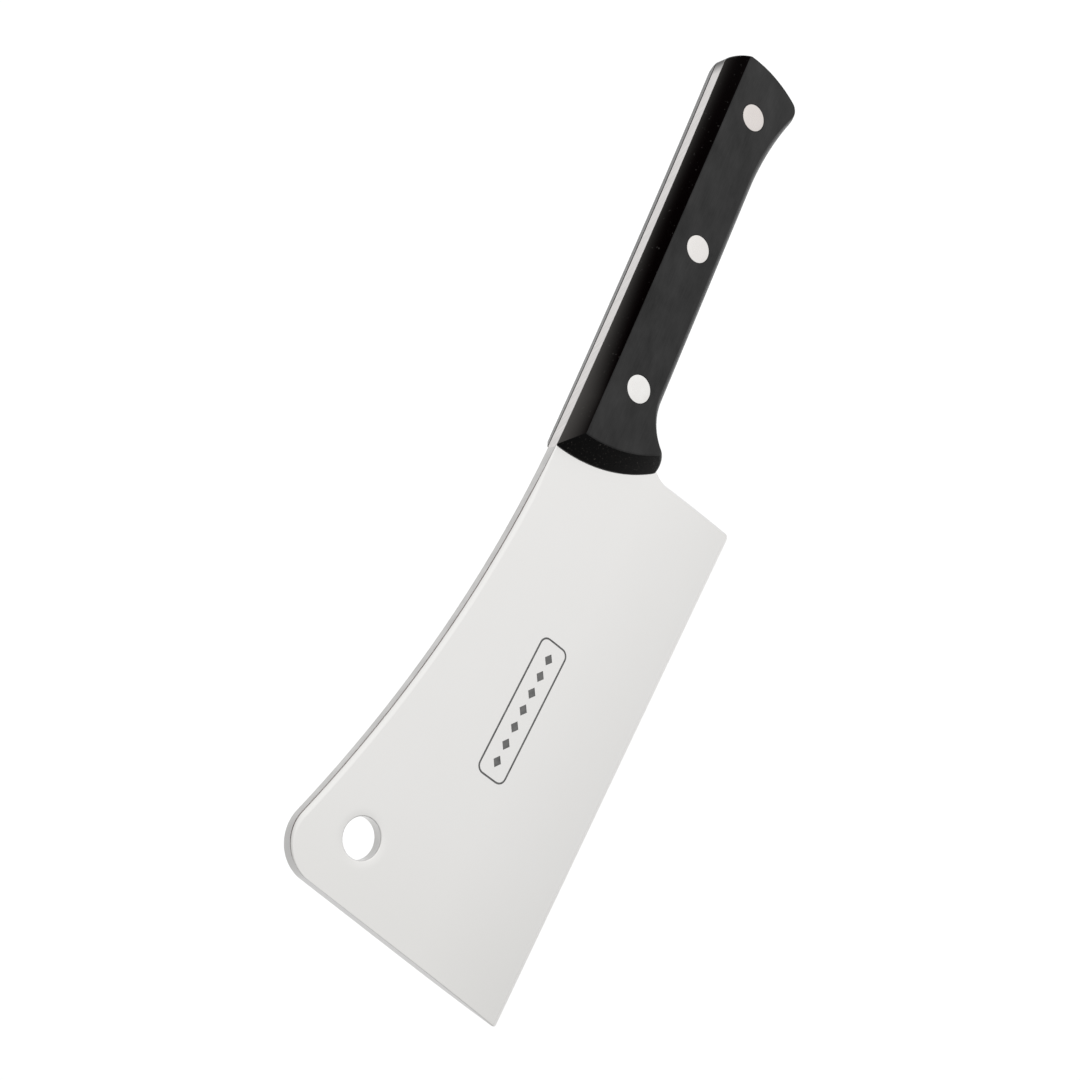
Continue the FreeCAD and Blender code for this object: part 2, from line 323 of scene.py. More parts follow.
def blade_outline(side):
    """The blank's outline as (point, outward normal, rim) all the way round."""
    butt = (butt_centre, butt_radius)
    upper, upper_butt, upper_spine = round_between(
        butt, (waist_centre, waist_radius), butt_corner, -1)
    lower, lower_butt, lower_hook = round_between(
        butt, (hook_centre, beak_flare), beak_corner, 1)
    tip_centre, tip_a, tip_b = round_corner(tip, nose_front, heel, tip_corner)
    heel_centre, heel_a, heel_b = round_corner(heel, tip, Vector((heel_x, 0)), heel_corner)
    early = on_spine(early_rim_x)
    swell = on_spine(spine_rim_x)
    stretches = (
        (arc(upper_spine, sweep_start, waist_centre, 32, True), tang_rim, tang_rim),
        (arc(sweep_start, scale_toe, spine_centre, 6, True), tang_rim, tang_rim),
        (arc(scale_toe, early, spine_centre, 6, True), tang_rim, early_rim),
        (arc(early, swell, spine_centre, 12, True), early_rim, spine_rim),
        (arc(swell, nose_rear, spine_centre, 50, True), spine_rim, spine_rim),
        (arc(nose_rear, nose_front, nose_centre, 32), spine_rim, front_rim),
        (line(nose_front, tip_a, 24), front_rim, heel_rim),
        (arc(tip_a, tip_b, tip_centre, 8), heel_rim, edge_rim),
        (line(tip_b, heel_a, 48), edge_rim, edge_rim),
        (arc(heel_a, heel_b, heel_centre, 8), edge_rim, heel_rim),
        (line(heel_b, throat_a, 10), heel_rim, heel_rim),
        (arc(throat_a, throat_b, throat, 12, True), heel_rim, heel_rim),
        (arc(throat_b, flare_start, flare_centre, 12, True), heel_rim, tang_rim),
        (line(flare_start, hook_start, 24), tang_rim, tang_rim),
        (arc(hook_start, lower_hook, hook_centre, 12, True), tang_rim, tang_rim),
        (arc(lower_hook, lower_butt, lower, 8), tang_rim, tang_rim),
        (arc(lower_butt, upper_butt, butt_centre, 24), tang_rim, tang_rim),
        (arc(upper_butt, upper_spine, upper, 8), tang_rim, tang_rim),
    )
    widest = spine_rim if side > 0 else plain_rim
    outline = []
    for spots, rim_first, rim_last in stretches:
        for i, (at, out) in enumerate(spots):
            rim = mix(rim_first, rim_last, i / len(spots))
            thin = grind_height((edge_point - at).dot(edge_out))
            outline.append((at, out, min(rim, widest, rim_share * thin)))
    return outline


# --------------------------------------------------------------- mesh helpers
def bridge(bm, first, last, material=0):
    """Quads between two closed rings of as many vertices."""
    for i in range(len(first)):
        j = (i + 1) % len(first)
        face = bm.faces.new((first[i], first[j], last[j], last[i]))
        face.material_index = material


def fill(bm, *rings, material=0):
    """Flat triangles inside the first ring and outside the others."""
    edges = []
    for ring in rings:
        for i in range(len(ring)):
            pair = (ring[i], ring[(i + 1) % len(ring)])
            edges.append(bm.edges.get(pair) or bm.edges.new(pair))
    made = bmesh.ops.triangle_fill(bm, use_beauty=True, use_dissolve=False, edges=edges)
    for item in made["geom"]:
        if isinstance(item, bmesh.types.BMFace):
            item.material_index = material


def piece_from(bm, name, materials, node):
    """Turns a closed bmesh in millimetres into a piece that stands for a node."""
    bmesh.ops.recalc_face_normals(bm, faces=bm.faces)
    mesh = bpy.data.meshes.new(name)
    bm.to_mesh(mesh)
    bm.free()
    mesh.transform(Matrix.Scale(MM, 4))
    mesh.shade_smooth()
    for material in materials:
        mesh.materials.append(material)
    piece = bpy.data.objects.new(name, mesh)
    bpy.context.scene.collection.objects.link(piece)
    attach(piece, "root")
    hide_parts(node)
    return piece


def weight_normals(piece, sharp_angle):
    """Keeps broad flat faces flat next to their small rounds."""
    piece.data.set_sharp_from_angle(angle=math.radians(sharp_angle))
    modifier = piece.modifiers.new("flat_faces", "WEIGHTED_NORMAL")
    modifier.mode = "FACE_AREA"
    modifier.weight = 80
    modifier.keep_sharp = True


# ---------------------------------------------------------------- blade shape
def grind_height(inset):
    """Half thickness at a distance from the cutting edge."""
    if inset <= edge_bevel:
        return mix(edge_land, edge_shoulder, max(inset, 0) / edge_bevel) / 2
    drop = half_blade - edge_shoulder / 2
    run = grind_width - edge_bevel
    radius = (run**2 + drop**2) / (2 * drop)
    left = max(grind_width - inset, 0)
    return half_blade - radius + math.sqrt(radius**2 - left**2)


def lean_of(rim):
    """How much further in than down a rim reaches."""
    return mix(1.0, spine_lean, rim / spine_rim)


def face_height(at):
    """Half thickness anywhere on the blade's faces."""
    inset = (edge_point - at).dot(edge_out)
    from_hole = (at.length - hole_radius) / hole_dish_width
    dish = hole_dish * (1 - min(max(from_hole, 0), 1))**2
    return grind_height(inset) - dish


def face_normal(at):
    step = 0.04
    slope_x = face_height(at + Vector((step, 0))) - face_height(at - Vector((step, 0)))
    slope_y = face_height(at + Vector((0, step))) - face_height(at - Vector((0, step)))
    return Vector((-slope_x, -slope_y, 2 * step)).normalized()


FACE, WALL, TANG, HONED, ETCHED = range(5)


class BladeMesh:
    """Both faces are drawn flat, cut along the grind, then lifted to height.

    Until then |z| is plan_offset less the depth below the face, and each
    vertex's tilt says how far its normal leans out of the face.
    """

    def __init__(self):
        self.bm = bmesh.new()
        self.tilt = self.bm.verts.layers.float_vector.new("tilt")

    def ring(self, points, side, depths=None, tilts=None):
        made = []
        for i, at in enumerate(points):
            depth = depths[i] if depths else 0.0
            tilt = tilts[i] if tilts else Vector((0, 0, 1))
            vertex = self.bm.verts.new((at.x, at.y, side * (plan_offset - depth)))
            vertex[self.tilt] = (tilt.x, tilt.y, side * tilt.z)
            made.append(vertex)
        return made

    def rim(self, outline, side, material):
        """Rings that round an outline over, from its wall to the face."""
        rings = []
        for step in range(rim_steps + 1):
            angle = math.pi / 2 * step / rim_steps
            inward = 1 - math.cos(angle)
            points = [at - out * (rim * lean_of(rim) * inward) for at, out, rim in outline]
            depths = [rim * (1 - math.sin(angle)) for _, _, rim in outline]
            tilts = []
            for _, out, rim in outline:
                level = out * (math.cos(angle) / lean_of(rim))
                tilts.append(Vector((level.x, level.y, math.sin(angle))))
            rings.append(self.ring(points, side, depths, tilts))
        for step, (first, last) in enumerate(zip(rings, rings[1:])):
            bridge(self.bm, first, last, material if step < wall_steps else FACE)
        return rings[0], rings[-1]

    def groove(self, outer, inner, side):
        """Etched groove between two rings of points; returns its two lips."""
        lips = self.ring(outer, side), self.ring(inner, side)
        floor = []
        for points, out in ((outer, -1), (inner, 1)):
            middle = sum(points, Vector((0, 0))) / len(points)
            moved = [at + (at - middle).normalized() * (out * mark_wall) for at in points]
            floor.append(self.ring(moved, side, [mark_depth] * len(points)))
        bridge(self.bm, lips[0], floor[0], ETCHED)
        bridge(self.bm, floor[0], floor[1], ETCHED)
        bridge(self.bm, floor[1], lips[1], ETCHED)
        return lips

    def pit(self, points, side):
        """Etched flat-bottomed pit; returns its lip."""
        middle = sum(points, Vector((0, 0))) / len(points)
        lip = self.ring(points, side)
        moved = [at - (at - middle).normalized() * mark_wall for at in points]
        floor = self.ring(moved, side, [mark_depth] * len(points))
        bridge(self.bm, lip, floor, ETCHED)
        self.bm.faces.new(floor).material_index = ETCHED
        return lip

    def lift(self):
        """Gives every vertex its height; returns the vertex normals."""
        normals = []
        for vertex in self.bm.verts:
            side = math.copysign(1, vertex.co.z)
            at = vertex.co.to_2d()
            depth = plan_offset - abs(vertex.co.z)
            tilt = vertex[self.tilt]
            face = face_normal(at) * abs(tilt.z)
            normal = Vector((tilt.x + face.x, tilt.y + face.y, side * face.z))
            normals.append(normal.normalized())
            vertex.co.z = side * (face_height(at) - depth)
        return normals


def rounded_box(length, width, radius):
    """Points of a rounded box, its middle at the mark's and along the edge."""
    steps = 6
    points = []
    for quarter, (sx, sy) in enumerate(((1, 1), (-1, 1), (-1, -1), (1, -1))):
        middle = Vector((sx * (length / 2 - radius), sy * (width / 2 - radius)))
        for i in range(steps + 1):
            angle = math.pi / 2 * (quarter + i / steps)
            points.append(middle + turned(Vector((radius, 0)), angle))
    return on_mark(points)


def on_mark(points):
    return [mark_centre + turned(at, -edge_slope) for at in points]


def lozenge(index):
    x = (index - (lozenge_count - 1) / 2) * lozenge_pitch
    half_length = lozenge_length / 2
    half_width = lozenge_width / 2
    return on_mark([
        Vector((x + half_length, 0)),
        Vector((x, half_width)),
        Vector((x - half_length, 0)),
        Vector((x, -half_width)),
    ])


def hanging_hole():
    """The hole as an outline whose outward normals point to its centre."""
    spots = []
    for i in range(hole_steps):
        ray = turned(Vector((1, 0)), -2 * math.pi * i / hole_steps)
        spots.append((ray * hole_radius, -ray, hole_rim))
    return spots


def wall_kind(at):
    """Which finish the blade's narrow sides have."""
    front = scale_toe.x if at.y < axis_y else throat_x
    return TANG if at.x < front and at.y < heel.y - heel_corner else WALL


def dish_rings(build, hole, lip, side):
    """Rings that carry the face's dip into the hole; returns the widest."""
    for share in dish_rows:
        radius = hole_radius + mix(hole_rim, hole_dish_width, share)
        wider = build.ring([-out * radius for _, out, _ in hole], side)
        bridge(build.bm, lip, wider)
        lip = wider
    return lip


def etch_mark(build, side):
    """The ornament's groove and pits; returns the groove's outer lip."""
    outer = rounded_box(mark_length, mark_width, mark_corner)
    inner_corner = mark_corner - mark_line
    inner = rounded_box(mark_length - 2 * mark_line, mark_width - 2 * mark_line, inner_corner)
    outer_lip, inner_lip = build.groove(outer, inner, side)
    pits = [build.pit(lozenge(i), side) for i in range(lozenge_count)]
    fill(build.bm, inner_lip, *pits)
    return outer_lip


def cut_rows(bm):
    """Cuts the faces along the cutting edge, so that they can follow the grind."""
    for row in grind_rows:
        at = edge_point - edge_out * row
        everything = bm.verts[:] + bm.edges[:] + bm.faces[:]
        bmesh.ops.bisect_plane(bm, geom=everything, dist=1e-5,
                               plane_co=at.to_3d(), plane_no=edge_out.to_3d())


def pick_finishes(bm):
    """Tells the tang from the other walls, and the honed bevel from the faces."""
    for face in bm.faces:
        middle = face.calc_center_median().to_2d()
        if face.material_index == WALL:
            face.material_index = wall_kind(middle)
        elif face.material_index == FACE and (edge_point - middle).dot(edge_out) < edge_bevel:
            face.material_index = HONED


def make_blade(materials):
    build = BladeMesh()
    hole = hanging_hole()
    walls = {}
    for side in (1, -1):
        outer_wall, outer_face = build.rim(blade_outline(side), side, WALL)
        hole_wall, hole_face = build.rim(hole, side, WALL)
        walls[side] = (outer_wall, hole_wall)
        hole_face = dish_rings(build, hole, hole_face, side)
        lips = [etch_mark(build, side)] if side > 0 else []
        fill(build.bm, outer_face, hole_face, *lips)
    for upper, lower in zip(walls[1], walls[-1]):
        bridge(build.bm, upper, lower, WALL)
    cut_rows(build.bm)
    pick_finishes(build.bm)
    normals = build.lift()
    piece = piece_from(build.bm, "cleaver_blade", materials, "blade")
    piece.data.normals_split_custom_set_from_vertices(normals)
    piece.data.attributes.remove(piece.data.attributes["tilt"])
    return piece


# --------------------------------------------------------------- handle scale
def spine_crease(side):
    """Where a scale's flat face meets its spine bevel: three spots and a hollow."""
    butt_y = axis_y - (crease_butt if side > 0 else plain_crease_butt)
    front_y = axis_y - crease_front
    butt_inner = butt_radius - butt_bevel
    front_inner = front_radius - front_bevel
    butt_run = math.sqrt(butt_inner**2 - (butt_y - butt_centre.y)**2)
    front_run = math.sqrt(front_inner**2 - (front_y - front_centre.y)**2)
    corner = Vector((butt_centre.x - butt_run, butt_y))
    toe = Vector((front_centre.x + front_run, front_y))
    joint = mix(corner, toe, (sweep_start.x - corner.x) / (toe.x - corner.x))
    return corner, joint, toe, crease_waist if side > 0 else plain_crease_waist


def sagitta_of(radius, chord):
    return radius - math.sqrt(radius**2 - chord**2 / 4)


foot_waist = sagitta_of(waist_radius, (sweep_start - butt_spine).length)
foot_sweep = sagitta_of(spine_radius, (scale_toe - sweep_start).length)


def scale_section(share, crease):
    """Plan of a scale: share is 0 at its foot and 1 where its bevels end."""
    face_butt, face_joint, face_toe, hollow = crease
    sunk = share**2
    rising = 1 - (1 - share)**2
    butt = (butt_centre, butt_radius - butt_bevel * sunk)
    front = (front_centre, front_radius - front_bevel * share)
    belly = belly_y - belly_round * sunk
    flare_size = mix(front_flare, crease_flare, rising)
    hook_size = mix(beak_flare, crease_beak, sunk)
    flare = (Vector((front_flare_x, belly + flare_size)), flare_size)
    hook = (Vector((beak_flare_x, belly + hook_size)), hook_size)
    corner = mix(butt_spine, face_butt, share)
    joint = mix(sweep_start, face_joint, share)
    toe = mix(scale_toe, face_toe, share)
    spine = bow_centre(corner, joint, mix(foot_waist, hollow, share))
    sweep = bow_centre(joint, toe, foot_sweep)
    corner_size = mix(butt_corner, face_corner, rising)
    upper, upper_butt, upper_spine = round_between(butt, spine, corner_size, -1)
    lower, lower_butt, lower_hook = round_between(butt, hook, beak_corner, 1)
    near_toe, toe_front, toe_sweep = round_between(front, sweep, toe_corner, 1)
    lip, lip_front, lip_flare = round_between(front, flare, front_corner, -1)
    flare_end = Vector((front_flare_x, belly))
    hook_end = Vector((beak_flare_x, belly))
    return (
        arc(upper_spine, joint, spine[0], 28, True)
        + arc(joint, toe_sweep, sweep[0], 8, True)
        + arc(toe_sweep, toe_front, near_toe, 6)
        + arc(toe_front, lip_front, front_centre, 24)
        + arc(lip_front, lip_flare, lip, 10)
        + arc(lip_flare, flare_end, flare[0], 14, True)
        + line(flare_end, hook_end, 24)
        + arc(hook_end, lower_hook, hook[0], 14, True)
        + arc(lower_hook, lower_butt, lower, 8)
        + arc(lower_butt, upper_butt, butt_centre, 20)
        + arc(upper_butt, upper_spine, upper, 8)
    )


def bezier(a, b, c, steps):
    """Points after a and up to c on the quadratic curve a, b, c."""
    shares = [i / steps for i in range(1, steps + 1)]
    return [mix(mix(a, b, t), mix(b, c, t), t) for t in shares]


def scale_profile():
    """How a scale rises: (share, height, inset) from its foot to its face."""
    foot = half_blade
    land = foot + scale_land
    rise = half_handle - crease_depth - land

    def on_bevel(share):
        return Vector((share, land + rise * share))

    full = Vector((1 + crease_depth / rise, half_handle))
    climb = [Vector((0, foot + 4 * scale_rim))]
    climb += bezier(climb[0], Vector((0, land)), on_bevel(bevel_first), 4)
    climb += [on_bevel(bevel_first + bevel_span * i / bevel_rows)
              for i in range(1, bevel_rows + 1)]
    climb += bezier(climb[-1], full, Vector((bevel_end, half_handle)), 7)
    profile = [(0, foot, scale_rim), (0, foot + 0.3 * scale_rim, 0.3 * scale_rim)]
    profile.append((0, foot + scale_rim, 0))
    return profile + [(share, height, 0) for share, height in climb]


def circle_ring(bm, centre, radius, height):
    made = []
    for i in range(rivet_steps):
        at = centre + turned(Vector((radius, 0)), 2 * math.pi * i / rivet_steps)
        made.append(bm.verts.new((at.x, at.y, height)))
    return made


def rivet_centres():
    names = ("rear", "middle", "front")
    return [(name, Vector((waist_x + (i - 1) * rivet_pitch, axis_y))) for i, name in enumerate(names)]


FLAT, BEVEL, SPINE = range(3)
spine_spots = 36            # the first spots of a section run along the spine


def scale_mesh(crease):
    """A +Z scale, closed, with its three counterbored rivet holes."""
    bm = bmesh.new()
    rings = []
    for share, height, inset in scale_profile():
        spots = scale_section(share, crease)
        rings.append([bm.verts.new((at - out * inset).to_3d() + Vector((0, 0, height)))
                      for at, out in spots])
    flat_from = len(rings) - flat_rings
    for i, (first, last) in enumerate(zip(rings, rings[1:])):
        bm.faces.ensure_lookup_table()
        bridge(bm, first, last, FLAT if i >= flat_from else BEVEL)
        if i < flat_from:
            for face in bm.faces[-len(first):][:spine_spots]:
                face.material_index = SPINE
    seat = head_radius + head_gap
    bore = barrel_radius + barrel_gap
    steps = ((seat + seat_rim, 0), (seat + 0.3 * seat_rim, 0.3 * seat_rim), (seat, seat_rim),
             (seat, head_height), (bore, head_height), (bore, half_handle - half_blade))
    tops = []
    feet = []
    for _, centre in rivet_centres():
        holes = [circle_ring(bm, centre, radius, half_handle - depth)
                 for radius, depth in steps]
        for first, last in zip(holes, holes[1:]):
            bridge(bm, first, last, BEVEL)
        tops.append(holes[0])
        feet.append(holes[-1])
    fill(bm, rings[-1], *tops, material=FLAT)
    fill(bm, rings[0], *feet, material=BEVEL)
    return bm


def make_scale(name, node, side, materials):
    bm = scale_mesh(spine_crease(side))
    if side < 0:
        bmesh.ops.scale(bm, vec=(1, 1, -1), verts=bm.verts)
    piece = piece_from(bm, name, materials, node)
    weight_normals(piece, scale_sharp)
    return piece


# --------------------------------------------------------------------- rivets
def lathe(profile, centre):
    """Closed solid turned about an upright axis from (radius, height) points."""
    bm = bmesh.new()
    first = bm.verts.new((centre.x, centre.y, profile[0][1]))
    last = bm.verts.new((centre.x, centre.y, profile[-1][1]))
    rings = [circle_ring(bm, centre, radius, height) for radius, height in profile[1:-1]]
    for upper, lower in zip(rings, rings[1:]):
        bridge(bm, upper, lower)
    for middle, ring in ((first, rings[0]), (last, rings[-1])):
        for i in range(rivet_steps):
            bm.faces.new((middle, ring[i], ring[(i + 1) % rivet_steps]))
    return bm


def head_profile(side):
    """From the middle of a head's face, over its rim and down to its seat."""
    points = [(0, half_handle), (head_radius * 0.5, half_handle)]
    for i in range(head_rim_steps + 1):
        angle = math.pi / 2 * i / head_rim_steps
        radius = head_radius - head_rim * (1 - math.sin(angle))
        points.append((radius, half_handle - head_rim * (1 - math.cos(angle))))
    points.append((head_radius, half_handle - head_height))
    return [(radius, side * height) for radius, height in points]


def post_profile():
    seat = half_handle - head_height
    tail = [(pin_radius, seat), (pin_radius, pin_foot + pin_chamfer),
            (pin_radius - pin_chamfer, pin_foot)]
    return head_profile(1) + tail + [(0, pin_foot)]


def socket_profile():
    seat = head_height - half_handle
    shoulder = barrel_top - barrel_chamfer
    tail = [(barrel_radius, seat), (barrel_radius, shoulder)]
    tail += [(barrel_radius - barrel_chamfer, barrel_top), (bore_radius + barrel_chamfer, barrel_top)]
    tail += [(bore_radius, shoulder), (bore_radius, seat)]
    return head_profile(-1) + tail + [(0, seat)]


def make_rivet(station, half, profile, centre, materials):
    name = f"rivet_{station}_{half}"
    piece = piece_from(lathe(profile, centre), f"{name}_finished", materials, name)
    weight_normals(piece, rivet_sharp)
    return piece


# ------------------------------------------------------------------ materials
belt_slant = math.radians(38)


class Finish:
    """A procedural material and short calls for its nodes."""

    def __init__(self, name, metallic, specular):
        self.material = bpy.data.materials.new(name)
        self.material.use_nodes = True
        self.tree = self.material.node_tree
        self.shader = self.tree.nodes["Principled BSDF"]
        self.shader.inputs["Metallic"].default_value = metallic
        self.shader.inputs["Specular IOR Level"].default_value = specular
        self.coordinates = self.tree.nodes.new("ShaderNodeTexCoord").outputs["Object"]
        self.bump = None

    def link(self, source, target):
        self.tree.links.new(source, target)

    def slanted(self, angle):
        """Turns the grain that follows about Y, out of the blade's plane."""
        node = self.tree.nodes.new("ShaderNodeVectorRotate")
        node.rotation_type = "Y_AXIS"
        node.inputs["Angle"].default_value = angle
        self.link(self.coordinates, node.inputs["Vector"])
        self.coordinates = node.outputs["Vector"]

    def noise(self, size, turn=0.0, detail=2.0, roughness=0.5):
        """Noise whose grain has this size in mm along each axis, turned about Z."""
        mapping = self.tree.nodes.new("ShaderNodeMapping")
        mapping.vector_type = "TEXTURE"
        mapping.inputs["Rotation"].default_value = (0, 0, turn)
        mapping.inputs["Scale"].default_value = [value * MM for value in size]
        noise = self.tree.nodes.new("ShaderNodeTexNoise")
        noise.inputs["Scale"].default_value = 1.0
        noise.inputs["Detail"].default_value = detail
        noise.inputs["Roughness"].default_value = roughness
        self.link(self.coordinates, mapping.inputs["Vector"])
        self.link(mapping.outputs["Vector"], noise.inputs["Vector"])
        return noise.outputs["Fac"]

    def spread(self, source, low, high, first=0.25, last=0.75):
        """Maps a value between first and last to one between low and high."""
        node = self.tree.nodes.new("ShaderNodeMapRange")
        node.inputs["From Min"].default_value = first
        node.inputs["From Max"].default_value = last
        node.inputs["To Min"].default_value = low
        node.inputs["To Max"].default_value = high
        self.link(source, node.inputs["Value"])
        return node.outputs["Result"]

    def along(self, axis, first, last):
        """0 to 1 between two places in mm along one of the object's axes."""
        node = self.tree.nodes.new("ShaderNodeSeparateXYZ")
        self.link(self.coordinates, node.inputs["Vector"])
        return self.spread(node.outputs[axis], 0, 1, first * MM, last * MM)

    def together(self, first, last, operation="ADD"):
        node = self.tree.nodes.new("ShaderNodeMath")
        node.operation = operation
        self.link(first, node.inputs[0])
        self.link(last, node.inputs[1])
        return node.outputs["Value"]

    def power(self, source, exponent):
        """Raises one linked value to another."""
        return self.together(source, exponent, "POWER")

    def colour(self, dark, light, share):
        node = self.tree.nodes.new("ShaderNodeMix")
        node.data_type = "RGBA"
        node.inputs["A"].default_value = (*dark, 1)
        node.inputs["B"].default_value = (*light, 1)
        self.link(share, node.inputs["Factor"])
        self.link(node.outputs["Result"], self.shader.inputs["Base Color"])

    def rough(self, source):
        self.link(source, self.shader.inputs["Roughness"])

    def relief(self, source, depth):
        """Adds relief of a depth in mm on top of any there already."""
        node = self.tree.nodes.new("ShaderNodeBump")
        node.inputs["Strength"].default_value = 1.0
        node.inputs["Distance"].default_value = depth * MM
        self.link(source, node.inputs["Height"])
        if self.bump:
            self.link(self.bump, node.inputs["Normal"])
        self.bump = node.outputs["Normal"]
        self.link(self.bump, self.shader.inputs["Normal"])


def satin_steel():
    """Satin blade face: very fine cross grain, faint smudges, and painted shade that darkens it
    slightly towards the front.
    """
    finish = Finish("satin_steel", 1.0, 0.5)
    grain = finish.noise((0.25, 12.0, 12.0), -edge_slope, 3.0, 0.6)
    smudge = finish.noise((21.0, 14.0, 21.0), 0.3, 4.0, 0.6)
    # Painted shade: the face is painted slightly darker from 14 mm ahead of the hole's centre
    # forward, fading out 14 mm behind it; the smudge noise varies the tone at random.
    back = finish.along("X", 14.0, -14.0)
    finish.colour((0.706, 0.699, 0.684), (0.722, 0.715, 0.704),
                  finish.together(back, finish.spread(smudge, 0.6, 1), "MULTIPLY"))
    haze = finish.spread(smudge, 0.215, 0.245)
    finish.rough(finish.together(haze, finish.spread(grain, -0.02, 0.03)))
    finish.relief(grain, 0.0001)
    return finish.material


def ground_wall():
    """Narrow sides of the blade, ground lengthwise and then eased, with painted shade that darkens
    them towards the front.
    """
    finish = Finish("ground_wall", 1.0, 0.5)
    grain = finish.noise((7.0, 7.0, 0.14), 0.0, 3.0, 0.6)
    stain = finish.noise((5.0, 5.0, 5.0), 0.0, 3.0, 0.6)
    # Painted shade: the narrow sides are painted darker from 16 mm ahead of the hole's centre
    # forward, fading out 6 mm behind it; the stain noise varies the tone at random.
    back = finish.along("X", 16.0, -6.0)
    finish.colour((0.41, 0.405, 0.40), (0.56, 0.555, 0.545),
                  finish.together(back, finish.spread(stain, 0.25, 1), "MULTIPLY"))
    finish.rough(finish.spread(grain, 0.12, 0.22))
    finish.relief(grain, 0.001)
    return finish.material


def tang_steel():
    """Edge of the tang, belt ground on a slant together with the scales, with a painted dark
    reflection at the butt end.
    """
    finish = Finish("tang_steel", 1.0, 0.5)
    # Painted reflection: the steel is painted nearly black over its last 3 mm at the butt, fading out
    # by 8 mm, where it stands for the reflection of something dark.
    clear_of_painted_shade = finish.along("X", butt_x + 3.0, butt_x + 8.0)
    finish.slanted(belt_slant)
    grain = finish.noise((0.22, 9.0, 9.0), 0.0, 3.0, 0.65)
    coarse = finish.noise((0.7, 9.0, 9.0), 0.0, 2.0, 0.5)
    both = finish.together(finish.spread(grain, 0, 0.6), finish.spread(coarse, 0, 0.4))
    finish.colour((0.02, 0.02, 0.02), (0.785, 0.763, 0.752),
                  finish.together(clear_of_painted_shade, finish.spread(both, 0.66, 1.0, 0, 1), "MULTIPLY"))
    finish.rough(finish.spread(grain, 0.28, 0.42))
    finish.relief(grain, 0.003)
    return finish.material


def honed_steel():
    """Sharpened bevel: fine scratches square to the edge."""
    finish = Finish("honed_steel", 1.0, 0.5)
    scratch = finish.noise((0.1, 3.0, 3.0), -edge_slope, 3.0, 0.7)
    finish.colour((0.84, 0.83, 0.81), (0.90, 0.89, 0.875), finish.spread(scratch, 0, 1))
    finish.rough(finish.spread(scratch, 0.28, 0.4))
    finish.relief(scratch, 0.001)
    return finish.material


def etched_steel():
    """Frosted, darkened floor of the etched ornament."""
    finish = Finish("etched_steel", 1.0, 0.5)
    frost = finish.noise((0.12, 0.12, 0.12), 0.0, 3.0, 0.6)
    cloud = finish.noise((2.0, 2.0, 2.0), 0.0, 2.0, 0.5)
    finish.colour((0.13, 0.13, 0.13), (0.21, 0.21, 0.205), finish.spread(cloud, 0, 1))
    finish.rough(finish.spread(frost, 0.5, 0.7))
    finish.relief(frost, 0.01)
    return finish.material


def sanded_plastic():
    """Flat faces of the scales, sanded lengthwise to a satin."""
    finish = Finish("sanded_plastic", 0.0, 0.21)
    grain = finish.noise((9.0, 0.3, 9.0), 0.0, 3.0, 0.65)
    long_grain = finish.noise((30.0, 1.1, 30.0), 0.0, 2.0, 0.5)
    patch = finish.noise((13.0, 7.0, 13.0), 0.2, 3.0, 0.6)
    both = finish.together(finish.spread(grain, 0, 0.35), finish.spread(patch, 0, 0.65))
    finish.colour((0.0, 0.0, 0.0), (0.0300, 0.0297, 0.0297), both)
    wear_and_sheen = finish.spread(patch, 0.34, 0.48)
    finish.rough(finish.together(wear_and_sheen, finish.spread(grain, -0.08, 0.1)))
    finish.relief(long_grain, 0.006)
    finish.relief(grain, 0.008)
    return finish.material


def moulded_plastic():
    """Front, butt and belly of the scales: black, with a fine pebble."""
    finish = Finish("moulded_plastic", 0.0, 0.07)
    pebble = finish.noise((0.35, 0.35, 0.35), 0.0, 3.0, 0.7)
    fleck = finish.noise((0.55, 0.55, 0.55), 0.0, 1.0, 0.5)
    finish.colour((0.0009, 0.0008, 0.0008), (0.05, 0.045, 0.04),
                  finish.spread(fleck, 0, 1, 0.66, 0.78))
    finish.rough(finish.spread(pebble, 0.2, 0.42, 0.35, 0.65))
    finish.relief(pebble, 0.01)
    return finish.material


def painted_sheen_plastic():
    """Bevel along the spine: black, with painted sheen that makes it paler low down and to the front.
    """
    finish = Finish("painted_sheen_plastic", 0.0, 0.015)
    pebble = finish.noise((0.35, 0.35, 0.35), 0.0, 3.0, 0.7)
    fleck = finish.noise((0.9, 0.9, 0.9), 0.0, 1.0, 0.5)
    forward = finish.along("X", -200.0, -140.0)
    level = finish.along("Z", 0.0, half_handle)
    under = finish.along("Z", 0.0, -half_handle)
    sunk = finish.spread(finish.together(level, under), 1.0, 0.0, 0.25, 1.0)
    # Painted sheen: the colour is painted paler low down on the bevel, near the tang, and more so
    # towards the front; the flecks add real specks on top.
    painted_sheen = finish.power(sunk, finish.spread(forward, 5.0, 1.0, 0, 1))
    wear_and_sheen = finish.together(painted_sheen, finish.spread(forward, 0.45, 1.0, 0, 1), "MULTIPLY")
    sheen_and_specks = finish.together(wear_and_sheen, finish.spread(fleck, 0, 0.4, 0.7, 0.8))
    finish.colour((0.0009, 0.0002, 0.0003), (0.072, 0.069, 0.066), sheen_and_specks)
    finish.rough(finish.spread(pebble, 0.12, 0.3, 0.35, 0.65))
    finish.relief(pebble, 0.006)
    return finish.material


